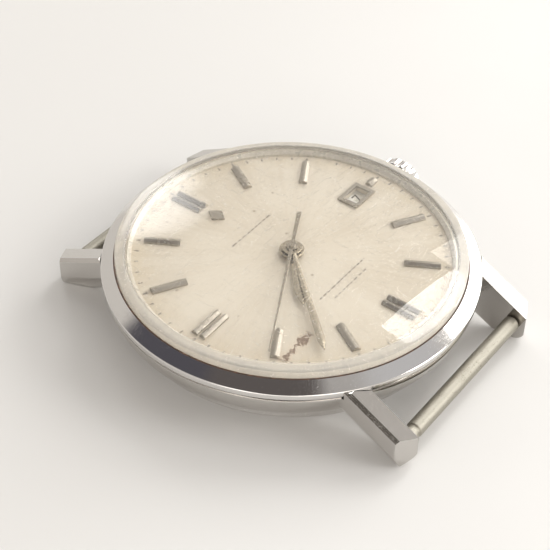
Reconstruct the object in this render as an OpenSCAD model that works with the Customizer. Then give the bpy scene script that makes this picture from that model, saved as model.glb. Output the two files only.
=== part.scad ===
// Self-winding wristwatch head: steel case, domed crystal, dial, hands and movement.
// Origin: centre of the case back's rest face. +Z towards the crystal, +Y towards 12, +X towards 3.

/* [Case] */
// Radius of the bezel, the widest round part
bezel_r = 17.25; // [17.2:0.05:17.4]
// Height of the bezel's inner top edge above the rest face
bezel_top = 6.65; // [6.6:0.05:6.7]
// Radius of the flat that the watch rests on
rest_r = 12; // [11:0.5:12.5]
// Radius of the bore that holds the movement
bore_r = 14.8; // [14.78:0.01:14.82]

/* [Crystal] */
// Outer radius of the crystal's wall
crystal_r = 15.95; // [15.93:0.01:15.95]
// Height of the crystal's shoulder
shoulder_z = 7.35; // [7.2:0.05:7.5]
// Height of the crystal's crown
crystal_top = 9.1; // [8.9:0.1:9.4]
// Thickness of the crystal's wall
wall = 1.05; // [1:0.01:1.07]

/* [Lugs and strap bars] */
// Clear width between two lugs, the strap's nominal width
strap_w = 18; // [17.8:0.1:18.2]
// Width of one lug
lug_w = 2; // [1.9:0.05:2.2]
// Distance of a lug's end from the centre line
lug_reach = 19.75; // [19.65:0.05:19.8]
// Distance of a strap bar's axis from the centre line
bar_y = 18.4; // [18.3:0.05:18.5]
// Height of a strap bar's axis
bar_z = 1.9; // [1.85:0.05:1.95]
// Radius of a strap bar's tube
bar_r = 0.75; // [0.7:0.01:0.8]
// Travel of a strap bar's sprung tip
tip_travel = 1; // [0.95:0.05:1.1]

/* [Crown] */
// Radius of the crown
crown_r = 2.4; // [2.2:0.05:2.5]
// Height of the stem's axis
stem_z = 3.75; // [3.74:0.01:3.76]
// Number of flutes on the crown
flutes = 14; // [12:1:16]

/* [Dial and hands] */
// Radius of the dial
dial_r = 14.7; // [14.68:0.01:14.72]
// Middle radius of the hour markers
marker_r = 11.75; // [11.6:0.05:11.9]
// Length of an hour marker
marker_l = 3.3; // [3:0.1:3.4]
// Length of the minute hand from its axis
minute_l = 13.2; // [12.5:0.1:13.4]
// Length of the hour hand from its axis
hour_l = 7.4; // [7:0.1:8.5]
// Length of the seconds hand from its axis
seconds_l = 13.6; // [13:0.1:13.7]
// Time shown at rest: hours, clockwise degrees
hour_deg = 226; // [0:1:359]
// Time shown at rest: minutes, clockwise degrees
minute_deg = 222; // [0:1:359]
// Time shown at rest: seconds, clockwise degrees
seconds_deg = 242; // [0:1:359]

/* [Movement] */
// Radius of the main plate
plate_r = 14; // [13.98:0.01:14]
// Outer radius of the date ring
date_ro = 12.9; // [12.86:0.01:12.93]
// Outer radius of the rotor's heavy rim
rotor_r = 13.3; // [13.1:0.05:13.4]

/* [Hidden] */
$fn = 96;

// Levels of the movement, from the back to the dial
web_z = [0.95, 1.15];
rim_z = [0.95, 2.15];
auto_z = [1.22, 1.55];
upper_z = [1.62, 1.87];
lower_z = [1.92, 2.1];
ratchet_z = [2.18, 2.36];
bridge_z = [2.4, 2.95];
plate_z = [3.95, 5.8];
motion_floor = 4.75;
calendar_floor = 5.35;
dial_z = [5.8, 6.2];
seat_z = 5.1;
ledge_z = 5.75;
back_top = 2.3;

// Teeth of every wheel and pinion
barrel_n = 72;
great_pinion_n = 12;
great_n = 80;
third_pinion_n = 10;
third_n = 75;
fourth_pinion_n = 10;
fourth_n = 80;
escape_pinion_n = 8;
escape_n = 15;
cannon_n = 12;
minute_n = 36;
minute_pinion_n = 10;
hour_n = 40;
date_wheel_n = 80;
date_n = 31;
setting_n = 57;
crown_wheel_n = 43;
ratchet_n = 50;
winding_n = 22;
reduction_pinion_n = 8;
reduction_n = 43;
reverser_n = 30;
reverser_pinion_n = 12;
rotor_pinion_n = 24;

// Modules of the gear pairs
barrel_m = 0.12;
great_m = 0.09;
third_m = 0.085;
fourth_m = 0.08;
motion_m = 0.1;
auto_m = 0.1;

// Centres of the wheels, seen from the dial side
function polar(r, a) = [r * cos(a), r * sin(a)];
function pair_r(m, a, b) = m * (a + b) / 2;
function meet(p, rp, q, rq, side) =
    let (d = norm(q - p), a = (rp * rp - rq * rq + d * d) / (2 * d))
    let (h = sqrt(rp * rp - a * a), u = (q - p) / d)
    p + a * u + side * h * [-u[1], u[0]];
function heading(p, q) = atan2(q[1] - p[1], q[0] - p[0]);

centre = [0, 0];
barrel_at = [7.2, 5.2];
great_at = meet(centre, 4.6, barrel_at, pair_r(barrel_m, barrel_n, great_pinion_n), 1);
third_at = meet(centre, pair_r(third_m, third_n, fourth_pinion_n),
                great_at, pair_r(great_m, great_n, third_pinion_n), 1);
escape_at = polar(pair_r(fourth_m, fourth_n, escape_pinion_n), -110);
escape_r = 2.3;
lever_heading = -75;
pallet_at = escape_at + polar(escape_r / cos(30), lever_heading);
pallet_to_balance = 2.6;
balance_at = pallet_at + polar(pallet_to_balance, lever_heading);
minute_at = meet(centre, pair_r(motion_m, cannon_n, minute_n),
                 great_at, pair_r(motion_m, cannon_n, minute_n), -1);
minute_pinion_m = 2 * norm(minute_at) / (minute_pinion_n + hour_n);
setting_r = motion_m * setting_n / 2;
setting_at = [8.95 - setting_r, 0];
date_at = polar(minute_pinion_m * (hour_n + date_wheel_n) / 2, 215);
crown_wheel_at = [9.3, 0];
ratchet_m = 2 * norm(barrel_at - crown_wheel_at) / (crown_wheel_n + ratchet_n);
reduction_at = barrel_at + polar(pair_r(ratchet_m, ratchet_n, reduction_pinion_n), 225);
reverser_a_at = meet(centre, pair_r(auto_m, rotor_pinion_n, reverser_n), reduction_at, 2.8, 1);
reverser_b_at = meet(reduction_at, 2.8, reverser_a_at, auto_m * reverser_n, 1);
click_at = barrel_at + polar(4.2, 110);
jumper_at = polar(7.2, 150);
setting_lever_at = [13.15, -2.6];
yoke_at = [10.3, -3.4];

// Places of the screws, and of the pillars they enter
plate_screws = [[4.6, 11.9], [12.3, -3.9], [5.6, -2.6], [-1.8, 12.4], [-11.6, 2.6], [-9.2, -3.6],
                [-6.6, -10.6]];
auto_screws = [[-4.4, 0.8], [7, -3.9], [-0.9, 5.8]];
pallet_screw = [2.9, -4];

// Turn that brings a second wheel into mesh with a first one at the given heading
function mesh_turn(heading, turn, n1, n2) =
    heading + 180 - 180 / n2 + (heading - turn) * n1 / n2;

great_turn = mesh_turn(heading(barrel_at, great_at), 0, barrel_n, great_pinion_n);
third_turn = mesh_turn(heading(great_at, third_at), 0, great_n, third_pinion_n);
fourth_turn = mesh_turn(heading(third_at, centre), 0, third_n, fourth_pinion_n);
escape_turn = mesh_turn(heading(centre, escape_at), 0, fourth_n, escape_pinion_n);
minute_turn = mesh_turn(heading(centre, minute_at), 0, cannon_n, minute_n);
driving_turn = mesh_turn(heading(minute_at, great_at), minute_turn, minute_n, cannon_n);
setting_turn = mesh_turn(heading(minute_at, setting_at), minute_turn, minute_n, setting_n);
hour_turn = mesh_turn(heading(minute_at, centre), 0, minute_pinion_n, hour_n);
date_turn = mesh_turn(heading(centre, date_at), hour_turn, hour_n, date_wheel_n);
crown_wheel_turn = 0;
ratchet_turn = mesh_turn(heading(crown_wheel_at, barrel_at), 0, crown_wheel_n, ratchet_n);
reduction_turn = mesh_turn(heading(barrel_at, reduction_at), ratchet_turn, ratchet_n,
                           reduction_pinion_n);
reverser_a_turn = mesh_turn(heading(centre, reverser_a_at), 0, rotor_pinion_n, reverser_n);
reverser_b_turn = mesh_turn(heading(reverser_a_at, reverser_b_at), reverser_a_turn, reverser_n,
                            reverser_n);
out_a_turn = mesh_turn(heading(reduction_at, reverser_a_at), 0, reduction_n, reverser_pinion_n);
out_b_turn = mesh_turn(heading(reduction_at, reverser_b_at), 0, reduction_n, reverser_pinion_n);

steel = "silver";
polished = "gainsboro";
gilt = "goldenrod";
plated = "lightgray";
ruby = "crimson";

// ---- Shared shapes ----
module at(p) {
    translate([p[0], p[1], 0]) children();
}

module disc(r, z) {
    translate([0, 0, z[0]]) cylinder(r = r, h = z[1] - z[0]);
}

module slab(z) {
    translate([0, 0, z[0]]) linear_extrude(z[1] - z[0]) children();
}

module washer(ro, ri, z) {
    slab(z) difference() {
        circle(ro);
        circle(ri);
    }
}

// Cylinder along +X from one x to another
module rod(r, x) {
    translate([x[0], 0, stem_z]) rotate([0, 90, 0]) cylinder(r = r, h = x[1] - x[0]);
}

// Turned shape about the stem's axis, its outline given as radius and x
module turned_on_stem(outline) {
    translate([0, 0, stem_z]) rotate([0, 90, 0]) rotate_extrude() polygon(outline);
}

// Outline of a gear, four points to a tooth
function gear_points(n, m, turn) = [
    for (i = [0 : n - 1], k = [0 : 3])
        polar(n * m / 2 + (k == 1 || k == 2 ? 0.8 : -0.95) * m,
              turn + (i + [-0.3, -0.14, 0.14, 0.3][k]) * 360 / n)
];

// Open spaces between a wheel's rim and its hub
module windows(ro, ri, arms, arm_w) {
    difference() {
        circle(ro);
        circle(ri);
        for (i = [0 : arms - 1])
            rotate(i * 360 / arms) translate([0, -arm_w / 2]) square([ro + 1, arm_w]);
    }
}

module pinion(n, m, z, turn) {
    slab(z) polygon(gear_points(n, m, turn));
}

module wheel(n, m, z, turn, arms) {
    pitch_r = n * m / 2;
    slab(z) difference() {
        polygon(gear_points(n, m, turn));
        windows(pitch_r * 0.84, pitch_r * 0.2, arms, pitch_r * 0.09);
    }
}

// Arbor between two levels with a pivot at each end
module arbor(r, z, pivots) {
    disc(r, z);
    disc(0.1, pivots);
}

// Flat spiral strip
module spiral(r0, r1, turns, thick, z) {
    steps = turns * 16;
    function edge(side) = [
        for (i = [0 : steps])
            polar(r0 + (r1 - r0) * i / steps + side * thick / 2, i * 22.5)
    ];
    outer = edge(1);
    slab(z) polygon(concat(edge(-1), [for (i = [steps : -1 : 0]) outer[i]]));
}

module pivot_holes(places, r, z) {
    for (p = places) at(p) disc(r, z);
}

// ---- Case ----
module mid_case() {
    side_r = 4;
    color(polished) difference() {
        union() {
            rotate_extrude() {
                intersection() {
                    translate([bore_r, back_top]) square([4, seat_z - back_top]);
                    translate([13.12, 5.316]) circle(side_r);
                }
                translate([bore_r, seat_z - 0.5]) square([crystal_r - bore_r, ledge_z - seat_z + 0.5]);
            }
            for (sx = [-1, 1], sy = [-1, 1]) lug(sx, sy);
        }
        disc(bore_r, [0, 10]);
        washer(bezel_r + 0.05, crystal_r, [seat_z, 9]);
        disc(crystal_r, [ledge_z, 9]);
        washer(15.4, 15.05, [back_top - 1, back_top + 0.2]);
        disc(15.75, [-1, back_top]);
        rod(0.95, [14, 18]);
        for (sy = [-1, 1], sx = [-1, 1])
            translate([sx * (strap_w / 2 + 0.6), sy * bar_y, bar_z]) rotate([0, 90, 0])
                cylinder(r = 0.45, h = 1.4, center = true);
    }
}

// One lug: a sloping bar with bevelled edges and a round lower end, trimmed on a circle
module lug(sx, sy) {
    fall = 0.518;
    top = [14.61, 5.54];
    high = 5.9;
    end_r = 1.4;
    corner = [lug_reach - end_r, 0.07 + end_r];
    mirror([sx < 0 ? 1 : 0, 0, 0]) mirror([0, sy < 0 ? 1 : 0, 0]) translate([strap_w / 2, 0, 0])
        intersection() {
            rotate([90, 0, 90]) linear_extrude(lug_w) {
                polygon([[11, high], [top[0] - (high - top[1]) / fall, high],
                         [lug_reach, top[1] - fall * (lug_reach - top[0])],
                         [lug_reach, corner[1]], corner, [corner[0], corner[1] - end_r],
                         [16.4, 0.07], [14.4, 1.05], [13.2, 2.3], [11, 2.3]]);
                translate(corner) circle(end_r);
            }
            translate([0, top[0], top[1]]) rotate([-atan(fall), 0, 0]) rotate([90, 0, 0])
                linear_extrude(30, center = true)
                    polygon([[0, 0], [lug_w - 0.33, 0], [lug_w, -0.3], [lug_w, -1.95],
                             [lug_w - 0.4, -2.65], [lug_w - 0.7, -3], [0, -4.4]]);
            translate([-strap_w / 2, 0, 0]) disc(21.62, [0, 7]);
        }
}

module bezel() {
    color(polished) rotate_extrude() polygon([
        [crystal_r + 0.02, seat_z + 0.02], [crystal_r + 0.02, bezel_top - 0.05],
        [crystal_r + 0.09, bezel_top], [bezel_r - 0.05, bezel_top - 0.67],
        [bezel_r, bezel_top - 0.73], [bezel_r, bezel_top - 1.2], [bezel_r - 0.07, bezel_top - 1.27],
        [bezel_r - 0.3, bezel_top - 1.35], [bezel_r - 0.3, seat_z + 0.02]]);
}

module case_back() {
    color(steel) rotate_extrude() polygon([
        [0, 0], [rest_r - 0.1, 0], [rest_r, 0.03], [13.5, 0.34], [14.7, 1], [15.1, 1.1], [15.1, 1.5],
        [15.45, 1.62], [15.45, 2.2], [15.35, back_top], [14.75, back_top], [14.75, 2.93],
        [13.75, 2.93], [13.75, 1.1], [13.45, 0.8], [0, 0.8]]);
}

module back_gasket() {
    color("black") washer(15.38, 15.07, [back_top + 0.01, back_top + 0.19]);
}

module crystal() {
    rise = crystal_top - shoulder_z;
    outer_r = (crystal_r * crystal_r + rise * rise) / (2 * rise);
    inner_top = crystal_top - 0.85;
    hollow = crystal_r - wall;
    inner_r = (hollow * hollow + 1.3 * 1.3) / 2.6;
    color("white", 0.35) rotate_extrude() intersection() {
        difference() {
            intersection() {
                translate([0, ledge_z]) square([crystal_r, 6]);
                translate([0, crystal_top - outer_r]) circle(outer_r);
            }
            intersection() {
                translate([-1, ledge_z - 1]) square([hollow + 1, 6]);
                translate([0, inner_top - inner_r]) circle(inner_r);
            }
        }
        translate([0, ledge_z]) square([crystal_r, 6]);
    }
}

module tension_ring() {
    ri = 14.42;
    ro = crystal_r - wall - 0.02;
    color(steel) rotate_extrude() polygon([
        [ri, dial_z[1]], [ro, dial_z[1]], [ro, 6.66], [ro - 0.12, 6.72], [ri, 6.45]]);
}

module crown_tube() {
    color(steel) difference() {
        rod(0.95, [14.85, 17.95]);
        rod(0.5, [14, 18.5]);
    }
}

module movement_ring() {
    color(steel) difference() {
        washer(bore_r - 0.05, plate_r + 0.02, [bridge_z[1], 5.7]);
        rod(0.6, [13, 16]);
    }
}

// ---- Dial side ----
module dial() {
    color("antiquewhite") difference() {
        union() {
            disc(dial_r, dial_z);
            for (a = [65, 245]) at(polar(13.4, a)) disc(0.3, [5, dial_z[0]]);
        }
        disc(0.9, [5, 7]);
        translate([10.3 - 1.15, -0.75, 5]) cube([2.3, 1.5, 2]);
    }
}

// Faceted baton lying along +X from the centre of the dial
module baton(r0, r1, w) {
    foot = dial_z[1];
    translate([r0, 0, foot]) rotate([90, 0, 90]) linear_extrude(r1 - r0)
        polygon([[-w / 2, 0], [w / 2, 0], [w / 2, 0.17], [w * 0.12, 0.36], [-w * 0.12, 0.36], [-w / 2, 0.17]]);
}

module applied_markers() {
    r0 = marker_r - marker_l / 2;
    r1 = marker_r + marker_l / 2;
    double = [0, 6, 9];
    color(polished) {
        for (h = [0 : 11]) rotate(90 - 30 * h) {
            if (h == 3)
                baton(12.35, r1, 0.75);
            else if (len(search(h, double)) > 0)
                for (s = [-1, 1]) translate([0, s * 0.42, 0]) baton(r0, r1, 0.62);
            else
                baton(r0, r1, 0.78);
        }
        translate([10.3, 0, dial_z[1]]) linear_extrude(0.22) difference() {
            square([3.1, 2.2], center = true);
            square([2.3, 1.5], center = true);
        }
        translate([0, 8.55, dial_z[1]]) linear_extrude(0.2)
            polygon([[-0.75, 0], [0, 0.95], [0.75, 0], [0, -0.95]]);
    }
}

// Blade drawn towards +Y, its half widths given along its length
module blade(outline, z) {
    n = len(outline);
    slab(z) polygon(concat(
        [for (p = outline) [p[1], p[0]]],
        [for (i = [n - 1 : -1 : 0]) [-outline[i][1], outline[i][0]]]));
}

module hour_hand() {
    z = [6.62, 6.74];
    color(polished) rotate(-hour_deg) difference() {
        union() {
            blade([[0.6, 0.3], [hour_l - 1.9, 0.58], [hour_l - 0.02, 0.02], [hour_l, 0.01]], z);
            disc(1.15, z);
            disc(1, [6.35, 6.7]);
        }
        disc(0.78, [6, 7]);
    }
}

module minute_hand() {
    z = [6.85, 6.97];
    color(polished) rotate(-minute_deg) difference() {
        union() {
            blade([[0.5, 0.22], [minute_l - 1.3, 0.38], [minute_l - 0.02, 0.02], [minute_l, 0.01]], z);
            disc(0.95, z);
        }
        disc(0.52, [6, 7.5]);
    }
}

module seconds_hand() {
    z = [7.06, 7.14];
    color(polished) rotate(-seconds_deg) difference() {
        union() {
            blade([[-4.75, 0.22], [-1.2, 0.16], [0, 0.16], [seconds_l, 0.06]], z);
            disc(0.55, z);
            disc(0.3, [6.98, 7.25]);
        }
        disc(0.12, [6, 7.2]);
    }
}

module date_ring() {
    root = 8.95;
    tip = 8.4;
    teeth = [
        for (i = [0 : date_n - 1], k = [0 : 3])
            polar(k == 0 || k == 3 ? root : tip, (i + [0.28, 0.42, 0.58, 0.72][k]) * 360 / date_n)
    ];
    color("white") slab([5.4, 5.7]) difference() {
        circle(date_ro);
        polygon(teeth);
    }
}

module date_driving_wheel() {
    color(gilt) at(date_at) difference() {
        union() {
            wheel(date_wheel_n, minute_pinion_m, [5.12, 5.3], date_turn, 4);
            disc(0.75, [5.12, 5.4]);
            rotate(35) slab([5.4, 5.55]) translate([0, -0.1]) square([2.84, 0.2]);
            disc(0.45, [5.4, 5.55]);
        }
        disc(0.22, [5, 5.7]);
    }
}

module date_jumper() {
    gap = 10 * 360 / date_n;
    base = polar(8.15, gap);
    nose = polar(8.62, gap);
    lean = heading(jumper_at, base);
    color(steel) difference() {
        slab([5.45, 5.6]) {
            at(jumper_at) circle(0.5);
            at(jumper_at) rotate(lean) translate([0, -0.15]) square([norm(base - jumper_at), 0.3]);
            polygon([base + polar(0.3, gap - 90), nose, base + polar(0.3, gap + 90)]);
            at(jumper_at) rotate(lean - 75) translate([0, -0.06]) square([3.2, 0.12]);
        }
        at(jumper_at) disc(0.23, [5, 6]);
    }
}

module hour_wheel() {
    color(gilt) difference() {
        union() {
            wheel(hour_n, minute_pinion_m, [5.12, 5.3], hour_turn, 3);
            disc(0.95, [5.08, 5.35]);
            disc(0.78, [5.3, 6.74]);
        }
        disc(0.55, [5, 7]);
    }
}

module cannon_pinion() {
    color(steel) difference() {
        union() {
            pinion(cannon_n, motion_m, [4.8, 5.04], 0);
            disc(0.52, [5, 6.97]);
        }
        disc(0.33, [4, 7.5]);
    }
}

module minute_wheel() {
    color(gilt) at(minute_at) difference() {
        union() {
            wheel(minute_n, motion_m, [4.8, 5], minute_turn, 3);
            pinion(minute_pinion_n, minute_pinion_m, [5, 5.32], 0);
        }
        disc(0.17, [4, 6]);
    }
}

module minute_driving_pinion() {
    color(steel) at(great_at) difference() {
        pinion(cannon_n, motion_m, [4.8, 5], driving_turn);
        disc(0.21, [4, 6]);
    }
}

module setting_wheel() {
    color(gilt) at(setting_at) difference() {
        wheel(setting_n, motion_m, [4.8, 5], setting_turn, 4);
        disc(0.27, [4, 6]);
    }
}

// ---- Main plate and bridges ----
module main_plate() {
    color(plated) difference() {
        union() {
            disc(plate_r, plate_z);
            washer(plate_r, 13.45, [bridge_z[1], plate_z[0] + 0.1]);
            for (p = plate_screws) at(p) disc(0.9, [bridge_z[1], plate_z[0] + 0.1]);
            at(pallet_screw) disc(0.6, [3.6, plate_z[0] + 0.1]);
            translate([7.3, -0.6, 3.3]) cube([1.35, 1.2, plate_z[0] - 3.2]);
        }
        disc(12.95, [calendar_floor, 6]);
        disc(8.1, [motion_floor, 6]);
        at(setting_at) disc(3, [motion_floor, 6]);
        at(date_at) disc(4.05, [5.08, 6]);
        at(barrel_at) disc(4.55, [3, 4.55]);
        translate([8.7, -1.5, 3]) cube([4.3, 3, 3]);
        rod(0.48, [12.5, 15]);
        rod(0.28, [7.4, 9]);
        translate([12.5, -0.65, 3.4]) cube([1.2, 0.55, 3]);
        slab([4.9, 6]) {
            translate([11.9, -3.3]) square([2.4, 3.3]);
            translate([9.7, -4.1]) square([1.3, 4.1]);
        }
        for (a = [65, 245]) at(polar(13.4, a)) disc(0.32, [4.9, 6]);
        pivot_holes(plate_screws, 0.3, [2, 4.6]);
        at(pallet_screw) disc(0.25, [3, 4.5]);
        disc(0.15, [3, 8]);
        at(great_at) disc(0.28, [3, 5]);
        for (p = [third_at, escape_at, pallet_at]) at(p) disc(0.45, [3, 4.3]);
        at(balance_at) disc(0.6, [3, 4.3]);
        at(barrel_at) disc(0.42, [4, 4.9]);
    }
    color(plated) {
        washer(0.3, 0.15, [4.4, 6.85]);
        at(minute_at) disc(0.15, [4.7, 5.3]);
        at(setting_at) disc(0.25, [4.7, 5.05]);
        at(date_at) disc(0.2, [4.7, 5.5]);
        at(jumper_at) disc(0.2, [4.7, 5.62]);
        at(setting_lever_at) disc(0.24, [4.85, 5.25]);
        at(yoke_at) disc(0.24, [4.85, 5.2]);
    }
}

module bridge_outline(edge) {
    intersection() {
        circle(13.65);
        polygon(edge);
    }
}

module barrel_bridge() {
    color(plated) difference() {
        slab(bridge_z) bridge_outline([[3.05, 14], [3.05, -1.2], [4.2, -3.6], [8.5, -5.6],
                                       [14, -5.6], [14, 14]]);
        at(crown_wheel_at) disc(2.82, [2, 2.5]);
        translate([8.7, -1.5, 2.62]) cube([4.3, 3, 2]);
        translate([11.4, -1.5, 2]) cube([1.6, 3, 2]);
        rod(0.48, [12.5, 15]);
        pivot_holes([plate_screws[0], plate_screws[1], plate_screws[2]], 0.32, [2, 3]);
        pivot_holes([auto_screws[1]], 0.3, [2, 3]);
        pivot_holes([reduction_at, reverser_b_at], 0.12, [2, 3]);
        at(barrel_at) disc(0.42, [2, 3]);
        at(click_at) disc(0.2, [2, 3]);
    }
    color(plated) at(crown_wheel_at) disc(0.5, [2.2, 2.55]);
}

module train_bridge() {
    color(plated) difference() {
        union() {
            slab(bridge_z) bridge_outline([[2.95, 14], [2.95, -1.25], [1.9, -4.2], [-4.5, -5.2],
                                           [-14, -5.2], [-14, 14]]);
            disc(0.7, [web_z[0], bridge_z[1]]);
        }
        for (p = [centre, great_at, third_at, escape_at]) at(p) disc(0.45, [2.6, 3]);
        for (p = [great_at, third_at, escape_at]) at(p) disc(0.3, [2, 3]);
        pivot_holes([plate_screws[3], plate_screws[4], plate_screws[5]], 0.32, [2, 3]);
        pivot_holes([auto_screws[0], auto_screws[2]], 0.3, [2, 3]);
        at(reverser_a_at) disc(0.12, [2, 3]);
        disc(0.3, [0.9, 1.5]);
    }
}

module balance_cock() {
    foot = plate_screws[6];
    color(plated) difference() {
        slab(bridge_z) intersection() {
            circle(13.65);
            union() {
                at(balance_at) circle(1.7);
                translate(balance_at) rotate(heading(balance_at, foot))
                    polygon([[0, -1.5], [5.4, -1.7], [6.2, -3.2], [9.5, -3.2], [9.5, 2.2], [6.2, 2.2],
                             [5.4, 1.7], [0, 1.5]]);
            }
        }
        at(balance_at) disc(0.6, [2.6, 3]);
        at(balance_at) disc(0.3, [2, 3]);
        at(foot) disc(0.32, [2, 3]);
    }
}

module pallet_cock() {
    color(plated) difference() {
        slab([3.46, 3.6]) {
            at(pallet_at) circle(0.6);
            at(pallet_screw) circle(0.75);
            at(pallet_at) rotate(heading(pallet_at, pallet_screw))
                translate([0, -0.35]) square([norm(pallet_screw - pallet_at), 0.7]);
        }
        at(pallet_at) disc(0.12, [3, 4]);
        at(pallet_screw) disc(0.25, [3, 4]);
    }
}

module automatic_bridge() {
    color(plated) difference() {
        union() {
            slab(auto_z) {
                polygon([auto_screws[0], auto_screws[1], reduction_at, auto_screws[2]]);
                for (p = concat(auto_screws, [reduction_at])) at(p) circle(1.15);
                circle(2.4);
            }
            for (p = auto_screws) at(p) disc(0.8, [auto_z[0], bridge_z[0]]);
        }
        disc(1.4, [1, 2]);
        for (p = auto_screws) at(p) disc(0.65, [1, 1.36]);
        pivot_holes(auto_screws, 0.3, [1, 3]);
        pivot_holes([reduction_at, reverser_a_at, reverser_b_at], 0.12, [1, 2]);
    }
}

module screw(p, head_r, head_z, r, z) {
    at(p) difference() {
        union() {
            disc(head_r, head_z);
            disc(r, z);
        }
        translate([-1, -0.06, head_z[0] - 0.5]) cube([2, 0.12, 0.56]);
    }
}

module bridge_screws() {
    color("slategray") {
        for (p = plate_screws) screw(p, 0.6, [2.2, bridge_z[0]], 0.3, [2.3, 4.4]);
        for (p = auto_screws) screw(p, 0.6, [1.2, 1.36], 0.3, [1.3, 2.9]);
        screw(pallet_screw, 0.5, [3.3, 3.46], 0.25, [3.4, 4.4]);
        screw(centre, 1.15, [0.84, 0.93], 0.3, [0.9, 1.5]);
    }
}

module jewels() {
    color(ruby) {
        for (p = [centre, great_at, third_at, escape_at]) at(p) washer(0.45, 0.12, [2.65, bridge_z[1]]);
        for (p = [third_at, escape_at, pallet_at]) at(p) washer(0.45, 0.12, [plate_z[0], 4.25]);
        at(balance_at) washer(0.6, 0.12, [2.65, bridge_z[1]]);
        at(balance_at) washer(0.6, 0.12, [plate_z[0], 4.25]);
    }
}

// ---- Winding and setting ----
module crown() {
    x = [17.35, 18.75];
    color(polished) difference() {
        union() {
            intersection() {
                translate([x[0], 0, stem_z]) rotate([0, 90, 0]) linear_extrude(x[1] - x[0])
                    difference() {
                        circle(crown_r);
                        for (i = [0 : flutes - 1]) rotate(i * 360 / flutes)
                            translate([crown_r + 0.2, 0]) circle(0.42);
                    }
                turned_on_stem([[0, x[0]], [crown_r - 0.15, x[0]], [crown_r + 0.01, x[0] + 0.2],
                                [crown_r + 0.01, x[1] - 0.3], [crown_r - 0.3, x[1]], [0, x[1]]]);
            }
            turned_on_stem([[0, x[1] - 0.1], [1.9, x[1] - 0.1], [1.85, x[1]], [1.2, x[1] + 0.1],
                            [0, x[1] + 0.14]]);
        }
        rod(1.1, [17, 18]);
        rod(0.45, [17.5, 18.4]);
    }
}

module crown_gasket() {
    color("black") difference() {
        rod(1.09, [17.5, 17.9]);
        rod(0.97, [17, 18.2]);
    }
}

module stem() {
    color(steel) {
        rod(0.25, [7.5, 8.95]);
        translate([8.9, -0.3, stem_z - 0.3]) cube([2.8, 0.6, 0.6]);
        rod(0.45, [11.6, 12.55]);
        rod(0.25, [12.5, 13]);
        rod(0.45, [12.95, 18.35]);
    }
}

// Gear about the stem's axis
module stem_gear(n, r, depth, x) {
    translate([x[0], 0, stem_z]) rotate([0, 90, 0]) linear_extrude(x[1] - x[0])
        polygon([for (i = [0 : n - 1], k = [0 : 3])
            polar(k == 1 || k == 2 ? r : r - depth, (i + [-0.3, -0.15, 0.15, 0.3][k]) * 360 / n)]);
}

module winding_pinion() {
    color(steel) difference() {
        stem_gear(winding_n, 1.4, 0.2, [11.62, 12.2]);
        rod(0.48, [11, 13]);
    }
}

module sliding_pinion() {
    color(steel) difference() {
        union() {
            stem_gear(12, 1.1, 0.2, [9.35, 9.75]);
            rod(0.95, [9.7, 10.25]);
            rod(0.75, [10.2, 10.8]);
            rod(0.95, [10.75, 11.25]);
            stem_gear(16, 1.1, 0.15, [11.2, 11.58]);
        }
        translate([9, -0.33, stem_z - 0.33]) cube([3, 0.66, 0.66]);
    }
}

// Flat lever from a pivot to a pin that drops beside the stem
module pinned_lever(pivot, pin, z, w) {
    difference() {
        slab(z) {
            at(pivot) circle(0.42);
            at(pin) circle(0.28);
            at(pivot) rotate(heading(pivot, pin)) translate([0, -w / 2]) square([norm(pin - pivot), w]);
        }
        at(pivot) disc(0.27, [4, 6]);
    }
    at(pin) disc(0.11, [stem_z - 0.15, z[0] + 0.05]);
}

module setting_lever() {
    color(steel) pinned_lever(setting_lever_at, [12.75, -0.42], [4.95, 5.15], 0.4);
}

module yoke() {
    color(steel) pinned_lever(yoke_at, [10.5, -0.9], [4.95, 5.15], 0.4);
}

// ---- Barrel and winding wheels ----
module barrel_drum() {
    color(gilt) at(barrel_at) difference() {
        union() {
            pinion(barrel_n, barrel_m, [3.35, 3.6], 0);
            disc(4.05, [3.35, 4.38]);
        }
        disc(3.85, [3.47, 5]);
        disc(0.38, [3, 5]);
    }
}

module barrel_cover() {
    color(gilt) at(barrel_at) washer(4.05, 0.38, [4.38, 4.5]);
}

module mainspring() {
    color("steelblue") at(barrel_at) spiral(0.95, 3.76, 8, 0.12, [3.52, 4.33]);
}

module barrel_arbor() {
    color(steel) at(barrel_at) {
        disc(0.85, [3.5, 4.35]);
        disc(0.35, [ratchet_z[0], 4.7]);
    }
}

module ratchet_wheel() {
    color(steel) at(barrel_at) difference() {
        pinion(ratchet_n, ratchet_m, ratchet_z, ratchet_turn);
        disc(0.35, [2, 3]);
    }
}

module crown_wheel() {
    color(steel) at(crown_wheel_at) difference() {
        union() {
            pinion(crown_wheel_n, ratchet_m, ratchet_z, crown_wheel_turn);
            washer(2.45, 2.05, [2.3, 2.44]);
        }
        disc(0.53, [2, 3]);
    }
}

module click() {
    beak = barrel_at + polar(3.02, 88);
    color(steel) difference() {
        union() {
            slab(ratchet_z) {
                at(click_at) circle(0.5);
                at(click_at) rotate(heading(click_at, beak))
                    polygon([[0, -0.35], [norm(beak - click_at), -0.04], [norm(beak - click_at), 0.04],
                             [0, 0.35]]);
                at(click_at) rotate(160) translate([0, -0.06]) square([3, 0.12]);
            }
            at(click_at) disc(0.18, [2.2, 2.9]);
        }
    }
}

// ---- Going train ----
module great_wheel() {
    color(gilt) at(great_at) {
        wheel(great_n, great_m, [3.05, 3.2], 0, 5);
        pinion(great_pinion_n, barrel_m, [3.15, 3.65], great_turn);
        arbor(0.25, [3, 3.95], [2.7, 3.1]);
        disc(0.25, [3.9, 4.72]);
        disc(0.18, [4.7, 5.05]);
    }
}

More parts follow.
